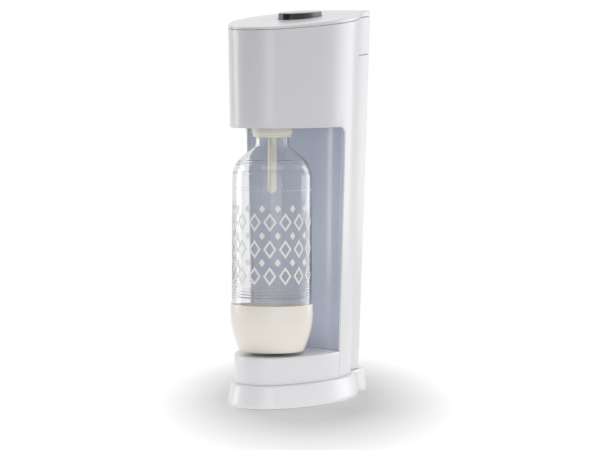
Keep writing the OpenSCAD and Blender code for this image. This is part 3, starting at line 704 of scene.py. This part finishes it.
class WATERMAKER_OT_lid(bpy.types.Operator):
    """Make the sloping lid with its filleted edge, button opening and inner lip"""
    bl_idname = "watermaker.lid"
    bl_label = "Lid"

    def execute(self, context):
        c, b = context.scene.watermaker_casing, context.scene.watermaker_button

        def ring(g):
            return looped(lid_half(c, g))

        def opening(g):
            wide, long = b.half_width + g, b.half_length + g
            return button_oval(b, g, [atan2((y - b.place) / long, x / wide) for x, y in ring(0.0)])

        chamfer, under, fillet = 0.3 * MM, 4.8 * MM, 1.6 * MM
        side = c.groove + chamfer
        drop = c.lid_height - side
        rings = [sloped(c, ring(-under), c.groove), sloped(c, ring(-chamfer), c.groove),
                 sloped(c, ring(0.0), side)]
        rise = tan(c.lid_rise)
        for a in quarter(10):
            up = drop - fillet * (1 - sin(a))
            rings.append(sloped(c, ring(-fillet * (1 - cos(a))), side + up, rise * up / drop))
        edge = 0.4 * MM
        for a in quarter(4):
            dz = c.lid_height - edge * (1 - cos(a))
            rings.append(sloped(c, opening(c.seam + edge * (1 - sin(a))), dz, rise))
        rings.append(sloped(c, opening(c.seam), c.groove))
        bm = bmesh.new()
        skin(bm, rings)
        lip_gap, lip_depth, lip_lap = 0.3 * MM, 4 * MM, 0.2 * MM
        lip = mirrored(lens_half(c, -c.wall - lip_gap, (c.seam_y,), (18, 60)))
        skin(bm, [sloped(c, lip, -lip_depth), sloped(c, lip, c.groove + lip_lap)], closed=False)
        settle(bm, "lid_moulding", "white_casing", "casing", ["top_lid"])
        return {"FINISHED"}


class WATERMAKER_OT_rear_covers(bpy.types.Operator):
    """Make the fixed upper and the removable lower rear cover"""
    bl_idname = "watermaker.rear_covers"
    bl_label = "Rear covers"

    def execute(self, context):
        c = context.scene.watermaker_casing

        def outline(g):
            half = block_half(c.rear_width / 2 + g, c.seam_y + c.seam, c.rear_reach + g, c.rear_corner)
            return half + [(-x, y) for x, y in reversed(half[:-1])]

        def split(g, z):
            return [Vector((x, y, z + (y - c.seam_y) * tan(c.lid_slope))) for x, y in outline(g)]

        gap = 0.2 * MM
        bottom = level(outline(growth(c, c.base_top)), c.base_top + c.seam)
        top = split(growth(c, c.rear_split), c.rear_split - gap)
        bm = bmesh.new()
        skin(bm, between(bottom, top, 10), closed=False)
        settle(bm, "lower_rear_cover", "white_casing", "back_cover", ["rear_cover"],
               modifiers=thick(c))
        bm = bmesh.new()
        bottom = split(growth(c, c.rear_split), c.rear_split + gap)
        top = sloped(c, outline(0.0), 0.0)
        skin(bm, between(bottom, top, 4), closed=False)
        settle(bm, "upper_rear_moulding", "white_casing", "casing", ["upper_rear_cover"],
               modifiers=thick(c))
        return {"FINISHED"}


class WATERMAKER_OT_button(bpy.types.Operator):
    """Make the oval push button: dark band with flange and stem, light crowned cap"""
    bl_idname = "watermaker.button"
    bl_label = "Button"

    def execute(self, context):
        c, b = context.scene.watermaker_casing, context.scene.watermaker_button

        def oval(g, dz):
            pts = button_oval(b, g, circle(128))
            tilt = tan(b.level) if dz > c.lid_height else 0.0
            return sloped(c, pts, dz + b.place * tilt, -tilt)

        band = c.lid_height + b.proud
        edge, flange, flange_low, flange_top = 0.8 * MM, 1.5 * MM, -2.2 * MM, 0.5 * MM
        rings = [oval(flange, flange_low), oval(flange, flange_top), oval(0, flange_top),
                 oval(0, band - edge)]
        rings += [oval(-edge * (1 - cos(a)), band - edge * (1 - sin(a))) for a in quarter(5, 1)]
        bm = bmesh.new()
        skin(bm, rings, cap_low=True, cap_high=True)
        foot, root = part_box("button")[0].z, 0.7 * MM
        stem = [(0.0, foot)]
        stem += [(b.stem * sin(a), foot + b.stem * (1 - cos(a))) for a in quarter(8, 1)]
        stem.append((b.stem, seam_height(c, b.place) + flange_low + root))
        turned(bm, stem, (0.0, b.place), 48)
        settle(bm, "button_band", "button_dark", "push_button", ["button"])
        bm = bmesh.new()
        inset, fillet = 1.2 * MM, 1.0 * MM
        side, crown = 0.45 * b.cap, 0.15 * b.cap
        rings = [oval(-inset, band), oval(-inset, band + side)]
        rings += [oval(-inset - fillet * (1 - cos(a)), band + side + (b.cap - side - crown) * sin(a))
                  for a in quarter(5, 1)]
        flat = b.half_width - inset - fillet
        for t in (0.25, 0.5, 0.75, 0.92):
            rings.append(oval(-inset - fillet - flat * t, band + b.cap - crown * (1 - t) ** 2))
        skin(bm, rings, cap_low=True, cap_high=True)
        settle(bm, "button_top", "button_light", "push_button", ["button_cap"])
        return {"FINISHED"}


# Bottle and head


def bottle_profile(b, low, top, t):
    """Half profile of the bottle from its foot to its mouth, moved inward by t."""
    pts = [(0.0, low + t)]
    pts += [(b.radius - b.heel + (b.heel - t) * cos(a), low + b.heel + (b.heel - t) * sin(a))
            for a in [q - pi / 2 for q in quarter(16, 1)]]
    rib, half_rib, rib_low, pitch, count = 0.45 * MM, 1.28 * MM, 118.5 * MM, 3.2 * MM, 6
    proud = rib if t == 0 else 0.0
    for i in range(count):
        for u in [j / 8 for j in range(9)]:
            z = rib_low + i * pitch + half_rib * (2 * u - 1)
            pts.append((b.radius - t + proud * sin(pi * u) ** 2, z))
    cone = b.cone
    meet = b.radius - b.shoulder * (1 - cos(cone))
    centre = b.neck_low - (meet - b.neck) / tan(cone) - b.shoulder * sin(cone)
    arch = [(cone * i / 28, 0.0) for i in range(29)]
    if t == 0:
        crest, half = 0.35 * MM, 0.5 * MM / b.shoulder
        flat, clear = 0.4 * half, 1.2 * half
        for spot in (0.2 * cone, 0.57 * cone, 0.7 * cone):
            arch = [(a, lift) for a, lift in arch if abs(a - spot) > clear]
            arch += [(spot - half, 0.0), (spot - flat, crest), (spot + flat, crest), (spot + half, 0.0)]
    for a, lift in sorted(arch):
        reach = b.shoulder - t + lift
        pts.append((b.radius - b.shoulder + reach * cos(a), centre + reach * sin(a)))
    turn, fillet, mouth = b.neck_low - t * tan(cone / 2), 6 * MM, 0.6 * MM
    pts += [(b.neck - t + fillet * (1 - cos(a)), turn + fillet * (tan(cone / 2) - sin(a)))
            for a in [cone * i / 6 for i in range(6, -1, -1)]]
    pts.append((b.neck - t, top - mouth))
    return pts


class WATERMAKER_OT_bottle(bpy.types.Operator):
    """Make the clear bottle with its ribs and shoulder rings"""
    bl_idname = "watermaker.bottle"
    bl_label = "Bottle"

    def execute(self, context):
        c, b = context.scene.watermaker_casing, context.scene.watermaker_bottle
        low, top = LOW["bottle"].z, TOP["bottle"].z
        outer = bottle_profile(b, low, top, 0.0)
        inner = bottle_profile(b, low, top, b.wall)
        bm = bmesh.new()
        crown = 0.1 * MM
        rim = [(b.neck - 0.25 * b.wall, top - crown), (b.neck - 0.5 * b.wall, top),
               (b.neck - 0.75 * b.wall, top - crown)]
        turned(bm, outer + rim + list(reversed(inner)), (0.0, c.bottle_y), 128)
        settle(bm, "clear_bottle", "clear_bottle", "water_bottle", ["bottle"], smooth=50)
        return {"FINISHED"}


class WATERMAKER_OT_cup(bpy.types.Operator):
    """Make the base cup of the bottle"""
    bl_idname = "watermaker.cup"
    bl_label = "Base cup"

    def execute(self, context):
        c, b = context.scene.watermaker_casing, context.scene.watermaker_bottle
        low, top = LOW["bottle_cup"].z, TOP["bottle_cup"].z
        gap, curved, bulge = 0.2 * MM, 0.75, 1.7
        foot, wide = b.cup_foot, b.radius + gap + b.cup_wall
        high = (top - low) * curved

        def side(t):
            return [(foot + (wide - foot) * (1 - (1 - u) ** bulge) - t, low + max(t, high * u))
                    for u in [i / 28 for i in range(29)]]

        edge, recess, ring, slant = 0.5 * MM, 0.8 * MM, 8 * MM, 1 * MM
        toe, toe_in, toe_up, chamfer = 0.8 * MM, 0.1 * MM, 0.35 * MM, 0.3 * MM
        outer = [(0.0, low + recess), (foot - ring, low + recess), (foot - ring + slant, low),
                 (foot - toe, low), (foot - toe_in, low + toe_up)]
        outer += side(0)[1:] + [(wide, top - edge)]
        outer += [(wide - edge * (1 - cos(a)), top - edge + edge * sin(a)) for a in quarter(3, 1)]
        inner = [(wide - b.cup_wall + chamfer, top), (wide - b.cup_wall, top - chamfer)]
        inner += list(reversed(side(b.cup_wall)[1:])) + [(0.0, side(b.cup_wall)[1][1])]
        bm = bmesh.new()
        turned(bm, outer + inner, (0.0, c.bottle_y), 128)
        settle(bm, "base_cup", "ivory", "water_bottle", ["bottle_cup"])
        return {"FINISHED"}


def on_bottle(c, radius, turn, up):
    """Point on an upright cylinder about the bottle axis; turn is measured from the front."""
    return Vector((radius * sin(turn), c.bottle_y - radius * cos(turn), up))


def ink_patch(bm, c, radius, turn, up, half, inner):
    """Thin diamond of ink on the bottle; inner is the share of it that is open."""
    corners = ((1, 0), (0, 1), (-1, 0), (0, -1))
    loop = []
    for i in range(4):
        (x0, y0), (x1, y1) = corners[i], corners[(i + 1) % 4]
        loop += [(x0 + (x1 - x0) * j / 4, y0 + (y1 - y0) * j / 4) for j in range(4)]

    def ring(scale, lift):
        across, tall = half[0] * scale / radius, half[1] * scale
        return [on_bottle(c, radius + lift, turn + x * across, up + y * tall) for x, y in loop]

    low, high = 0.03 * MM, 0.14 * MM
    mid = (1 + inner) / 2
    walk = ((1, low), (1, high), (mid, high), (inner, high), (inner, low), (mid, low))
    rows = [[bm.verts.new(p) for p in ring(scale, lift)] for scale, lift in walk]
    stitch(bm, rows + rows[:1])


class WATERMAKER_OT_ink(bpy.types.Operator):
    """Print staggered rows of diamonds and the dotted fill line on the bottle"""
    bl_idname = "watermaker.ink"
    bl_label = "Bottle print"

    def execute(self, context):
        c, b = context.scene.watermaker_casing, context.scene.watermaker_bottle
        low, pitch, rows, across, reach, dots = 143 * MM, 14.5 * MM, 6, 16, 1.75, 60
        # Half width and half height of each figure, and how much of it is open
        frame_mark, solid_mark = ((7.2 * MM, 10.2 * MM), 0.64), ((3.4 * MM, 4.4 * MM), 0.04)
        dot = ((0.9 * MM, 0.6 * MM), 0.06)
        bm = bmesh.new()
        for row in range(rows):
            odd = row % 2
            for i in range(across):
                turn = 2 * pi * (i + 0.5 * odd) / across - pi
                if abs(turn) <= reach:
                    mark = solid_mark if odd else frame_mark
                    ink_patch(bm, c, b.radius, turn, low + row * pitch, *mark)
        for turn in circle(dots):
            ink_patch(bm, c, b.radius, turn, b.fill_line, *dot)
        settle(bm, "bottle_print", "ink", "water_bottle", [], smooth=50)
        return {"FINISHED"}


class WATERMAKER_OT_neck_holder(bpy.types.Operator):
    """Make the two-tier neck holder of the head"""
    bl_idname = "watermaker.neck_holder"
    bl_label = "Neck holder"

    def execute(self, context):
        c = context.scene.watermaker_casing
        lo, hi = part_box("neck_holder")
        wall, edge, step, chamfer = 3.7 * MM, 1.0 * MM, 1.3 * MM, 0.5 * MM
        tier, slope = lo.z + 3.6 * MM, 0.3 * MM
        wide = (hi.x - lo.x) / 2
        bore, narrow = wide - wall, wide - step
        pts = [(bore, hi.z), (bore, lo.z + chamfer), (bore + chamfer, lo.z), (narrow - edge, lo.z)]
        pts += [(narrow - edge + edge * sin(a), lo.z + edge * (1 - cos(a))) for a in quarter(5, 1)]
        pts += [(narrow, tier), (wide - edge, tier + slope)]
        pts += [(wide - edge + edge * sin(a), tier + slope + edge * (1 - cos(a))) for a in quarter(5, 1)]
        pts += [(wide, hi.z), (bore, hi.z)]
        bm = bmesh.new()
        turned(bm, pts, (0.0, c.bottle_y), 96)
        bmesh.ops.remove_doubles(bm, verts=bm.verts, dist=1e-7)
        settle(bm, "neck_collar", "ivory", "carbonation_head", ["neck_holder"])
        return {"FINISHED"}


# Studio

PICTURE = (600.0, 450.0)
# A count of matt bounces below this means none
NO_BOUNCE = 0.5
# Name, place, aim, width and height, and power of the soft lamps
LAMPS = (("key_right", (0.8, 1.6, 0.5), (0.0, 0.0, 0.2), (1.0, 1.3), 8.0),
         ("side_left", (-1.6, -0.15, 0.45), (0.0, 0.0, 0.15), (0.7, 1.2), 7.0),
         ("top_soft", (0.1, 0.0, 1.7), (0.0, 0.0, 0.0), (1.4, 1.4), 2.7),
         ("fill_front", (1.3, -1.75, 0.3), (0.0, 0.0, 0.15), (1.2, 1.2), 7.5),
         ("edge_front", (0.55, -1.2, 1.8), (0.0, 0.0, 0.1), (2.2, 0.8), 11.0))


class WATERMAKER_OT_stage(bpy.types.Operator):
    """Set up the floor, the lights and the camera"""
    bl_idname = "watermaker.stage"
    bl_label = "Studio"

    def execute(self, context):
        scene = context.scene
        scene.view_settings.view_transform = "Standard"
        self.floor(scene.watermaker_stage.turn)
        self.sky(scene)
        self.lamps(scene)
        self.camera(scene)
        return {"FINISHED"}

    def lamps(self, scene):
        """Broad soft lamps round the object"""
        for name, place, aim, size, power in LAMPS:
            lamp = bpy.data.lights.new(name, "AREA")
            lamp.shape, lamp.energy = "RECTANGLE", power
            lamp.size, lamp.size_y = size
            obj = bpy.data.objects.new(name, lamp)
            obj.location = place
            obj.rotation_euler = (Vector(aim) - Vector(place)).to_track_quat("-Z", "Y").to_euler()
            scene.collection.objects.link(obj)

    def camera(self, scene):
        """Camera at the place that the photograph was taken from"""
        v, c = scene.watermaker_stage, scene.watermaker_casing
        ahead = Vector((-sin(v.turn), cos(v.turn), 0.0))
        right = Vector((cos(v.turn), sin(v.turn), 0.0))
        eye = Vector((0.0, c.bottle_y, 0.0)) - ahead * v.distance - right * v.aside
        eye.z = v.height
        cam = bpy.data.cameras.new("camera")
        cam.sensor_width = 36.0
        cam.lens = v.focal * cam.sensor_width / PICTURE[0]
        cam.clip_end = 50.0
        obj = bpy.data.objects.new("camera", cam)
        pitch = atan2(PICTURE[1] / 2 - v.horizon, v.focal)
        view = (ahead - Vector((0, 0, tan(pitch)))).normalized()
        turn = view.to_track_quat("-Z", "Y").to_matrix().to_4x4()
        obj.matrix_world = Matrix.Translation(eye) @ turn @ Matrix.Rotation(v.roll, 4, "Z")
        scene.collection.objects.link(obj)
        scene.camera = obj

    def floor(self, turn):
        """Pale floor with a painted shadow pool: inside an ellipse round the object, turned with the
        camera and shifted aside, the grey lit floor shows with the real shadow; further out it turns
        into white
        """
        # Painted shadow: the grey floor shows only inside a pool of this size and core, shifted aside
        # from the object; the real shadow falls within it
        half_size, grey, shadow_pool_shift = 6.0, 0.7, 0.015
        shadow_pool_size, shadow_pool_core = (0.16, 0.45, 1.0), 0.42
        near_reach, far_reach, near_glow, far_glow = 0.2, 0.9, 1.2, 0.25
        bm = bmesh.new()
        bmesh.ops.create_grid(bm, x_segments=8, y_segments=8, size=half_size)
        mesh = bpy.data.meshes.new("studio_floor")
        bm.to_mesh(mesh)
        bm.free()
        obj = bpy.data.objects.new("studio_floor", mesh)
        bpy.context.scene.collection.objects.link(obj)
        mat = bpy.data.materials.new("studio_floor")
        mat.use_nodes = True
        tree = mat.node_tree
        shader = tree.nodes["Principled BSDF"]
        shader.inputs["Base Color"].default_value = (grey, grey, grey, 1.0)
        shader.inputs["Roughness"].default_value = 0.9
        shader.inputs["Specular IOR Level"].default_value = 0.1
        glow = add(tree, "ShaderNodeEmission")
        place = add(tree, "ShaderNodeTexCoord").outputs["Object"]
        far = add(tree, "ShaderNodeVectorMath", operation="LENGTH")
        tree.links.new(place, far.inputs[0])
        # Painted shadow pool: an ellipse turned with the camera, grey lit floor inside, white further
        # out
        shadow_pool = add(tree, "ShaderNodeMapping", vector_type="TEXTURE")
        shadow_pool.inputs["Location"].default_value = (shadow_pool_shift * cos(turn), shadow_pool_shift * sin(turn), 0.0)
        shadow_pool.inputs["Rotation"].default_value = (0.0, 0.0, turn)
        shadow_pool.inputs["Scale"].default_value = shadow_pool_size
        tree.links.new(place, shadow_pool.inputs["Vector"])
        away = add(tree, "ShaderNodeVectorMath", operation="LENGTH")
        tree.links.new(shadow_pool.outputs["Vector"], away.inputs[0])
        fade = remap(tree, away.outputs["Value"], shadow_pool_core, 1.0, 0.0, 1.0)
        near = remap(tree, far.outputs["Value"], near_reach, far_reach, near_glow, far_glow)
        seen, path = self.seen(tree), add(tree, "ShaderNodeLightPath")
        shine = add(tree, "ShaderNodeMix")
        tree.links.new(seen, shine.inputs[0])
        tree.links.new(near, shine.inputs[2])
        shine.inputs[3].default_value = 1.0
        tree.links.new(shine.outputs[0], glow.inputs["Strength"])
        spread = add(tree, "ShaderNodeMath", operation="GREATER_THAN")
        tree.links.new(path.outputs["Diffuse Depth"], spread.inputs[0])
        spread.inputs[1].default_value = NO_BOUNCE
        both = add(tree, "ShaderNodeMath", operation="MULTIPLY_ADD")
        tree.links.new(fade, both.inputs[0])
        tree.links.new(seen, both.inputs[1])
        tree.links.new(spread.outputs[0], both.inputs[2])
        mix = add(tree, "ShaderNodeMixShader")
        tree.links.new(both.outputs[0], mix.inputs[0])
        tree.links.new(shader.outputs[0], mix.inputs[1])
        tree.links.new(glow.outputs[0], mix.inputs[2])
        tree.links.new(mix.outputs[0], tree.nodes["Material Output"].inputs["Surface"])
        mesh.materials.append(mat)

    def seen(self, tree):
        """1 for camera rays, and for glossy and transmission rays with no matt surface before them"""
        path = add(tree, "ShaderNodeLightPath")
        clean = add(tree, "ShaderNodeMath", operation="LESS_THAN")
        tree.links.new(path.outputs["Diffuse Depth"], clean.inputs[0])
        clean.inputs[1].default_value = NO_BOUNCE
        total = path.outputs["Is Camera Ray"]
        for name in ("Is Glossy Ray", "Is Transmission Ray"):
            both = add(tree, "ShaderNodeMath", operation="MULTIPLY")
            tree.links.new(path.outputs[name], both.inputs[0])
            tree.links.new(clean.outputs[0], both.inputs[1])
            top = add(tree, "ShaderNodeMath", operation="MAXIMUM")
            tree.links.new(total, top.inputs[0])
            tree.links.new(both.outputs[0], top.inputs[1])
            total = top.outputs[0]
        return total

    def sky(self, scene):
        """White surround for the eye; reflections find it dim in front, where the camera stands"""
        front, white_from, mirrored_front = -0.8, -0.25, 0.12
        lit_to, lit_front, lit_back = 0.2, 0.25, 0.58
        world = bpy.data.worlds.new("studio")
        world.use_nodes = True
        scene.world = world
        tree = world.node_tree
        back = tree.nodes["Background"]
        back.inputs["Color"].default_value = (1.0, 1.0, 1.0, 1.0)
        way = add(tree, "ShaderNodeSeparateXYZ")
        tree.links.new(add(tree, "ShaderNodeTexCoord").outputs["Generated"], way.inputs[0])
        walls = remap(tree, way.outputs["Y"], front, white_from, mirrored_front, 1.0)
        light = remap(tree, way.outputs["Y"], front, lit_to, lit_front, lit_back)
        path = add(tree, "ShaderNodeLightPath")
        lit = add(tree, "ShaderNodeMix")
        tree.links.new(self.seen(tree), lit.inputs[0])
        tree.links.new(light, lit.inputs[2])
        tree.links.new(walls, lit.inputs[3])
        total = add(tree, "ShaderNodeMix")
        tree.links.new(path.outputs["Is Camera Ray"], total.inputs[0])
        tree.links.new(lit.outputs[0], total.inputs[2])
        total.inputs[3].default_value = 1.0
        tree.links.new(total.outputs[0], back.inputs["Strength"])


STEPS = ("finishes", "base", "stand", "shell", "liner", "lid", "rear_covers", "button", "bottle", "ink",
         "cup", "neck_holder", "stage")


class WATERMAKER_PT_panel(bpy.types.Panel):
    """Lists the steps of the water maker"""
    bl_label = "Water maker"
    bl_idname = "WATERMAKER_PT_panel"
    bl_space_type = "VIEW_3D"
    bl_region_type = "UI"
    bl_category = "Water maker"

    def draw(self, context):
        for step in STEPS:
            self.layout.operator("watermaker." + step)
        for group in GROUPS:
            box = self.layout.box()
            values = getattr(context.scene, group)
            for name in values.bl_rna.properties.keys():
                if name not in ("rna_type", "name"):
                    box.prop(values, name)


GROUPS = {"watermaker_casing": CasingSizes, "watermaker_button": ButtonSizes,
          "watermaker_bottle": BottleSizes, "watermaker_finishes": Finishes,
          "watermaker_stage": StageSizes}
CLASSES = (*GROUPS.values(), WATERMAKER_OT_finishes, WATERMAKER_OT_base, WATERMAKER_OT_stand,
           WATERMAKER_OT_shell, WATERMAKER_OT_liner, WATERMAKER_OT_lid, WATERMAKER_OT_rear_covers,
           WATERMAKER_OT_button, WATERMAKER_OT_bottle, WATERMAKER_OT_ink, WATERMAKER_OT_cup,
           WATERMAKER_OT_neck_holder, WATERMAKER_OT_stage, WATERMAKER_PT_panel)


def register():
    """Registers the classes and hangs the settings on the scene."""
    for cls in CLASSES:
        bpy.utils.register_class(cls)
    for name, cls in GROUPS.items():
        setattr(bpy.types.Scene, name, bpy.props.PointerProperty(type=cls))


def unregister():
    """Takes the settings and the classes away again."""
    for name in GROUPS:
        delattr(bpy.types.Scene, name)
    for cls in reversed(CLASSES):
        bpy.utils.unregister_class(cls)


def main():
    """Builds every piece in order."""
    register()
    for step in STEPS:
        getattr(bpy.ops.watermaker, step)()


if __name__ == "__main__":
    main()
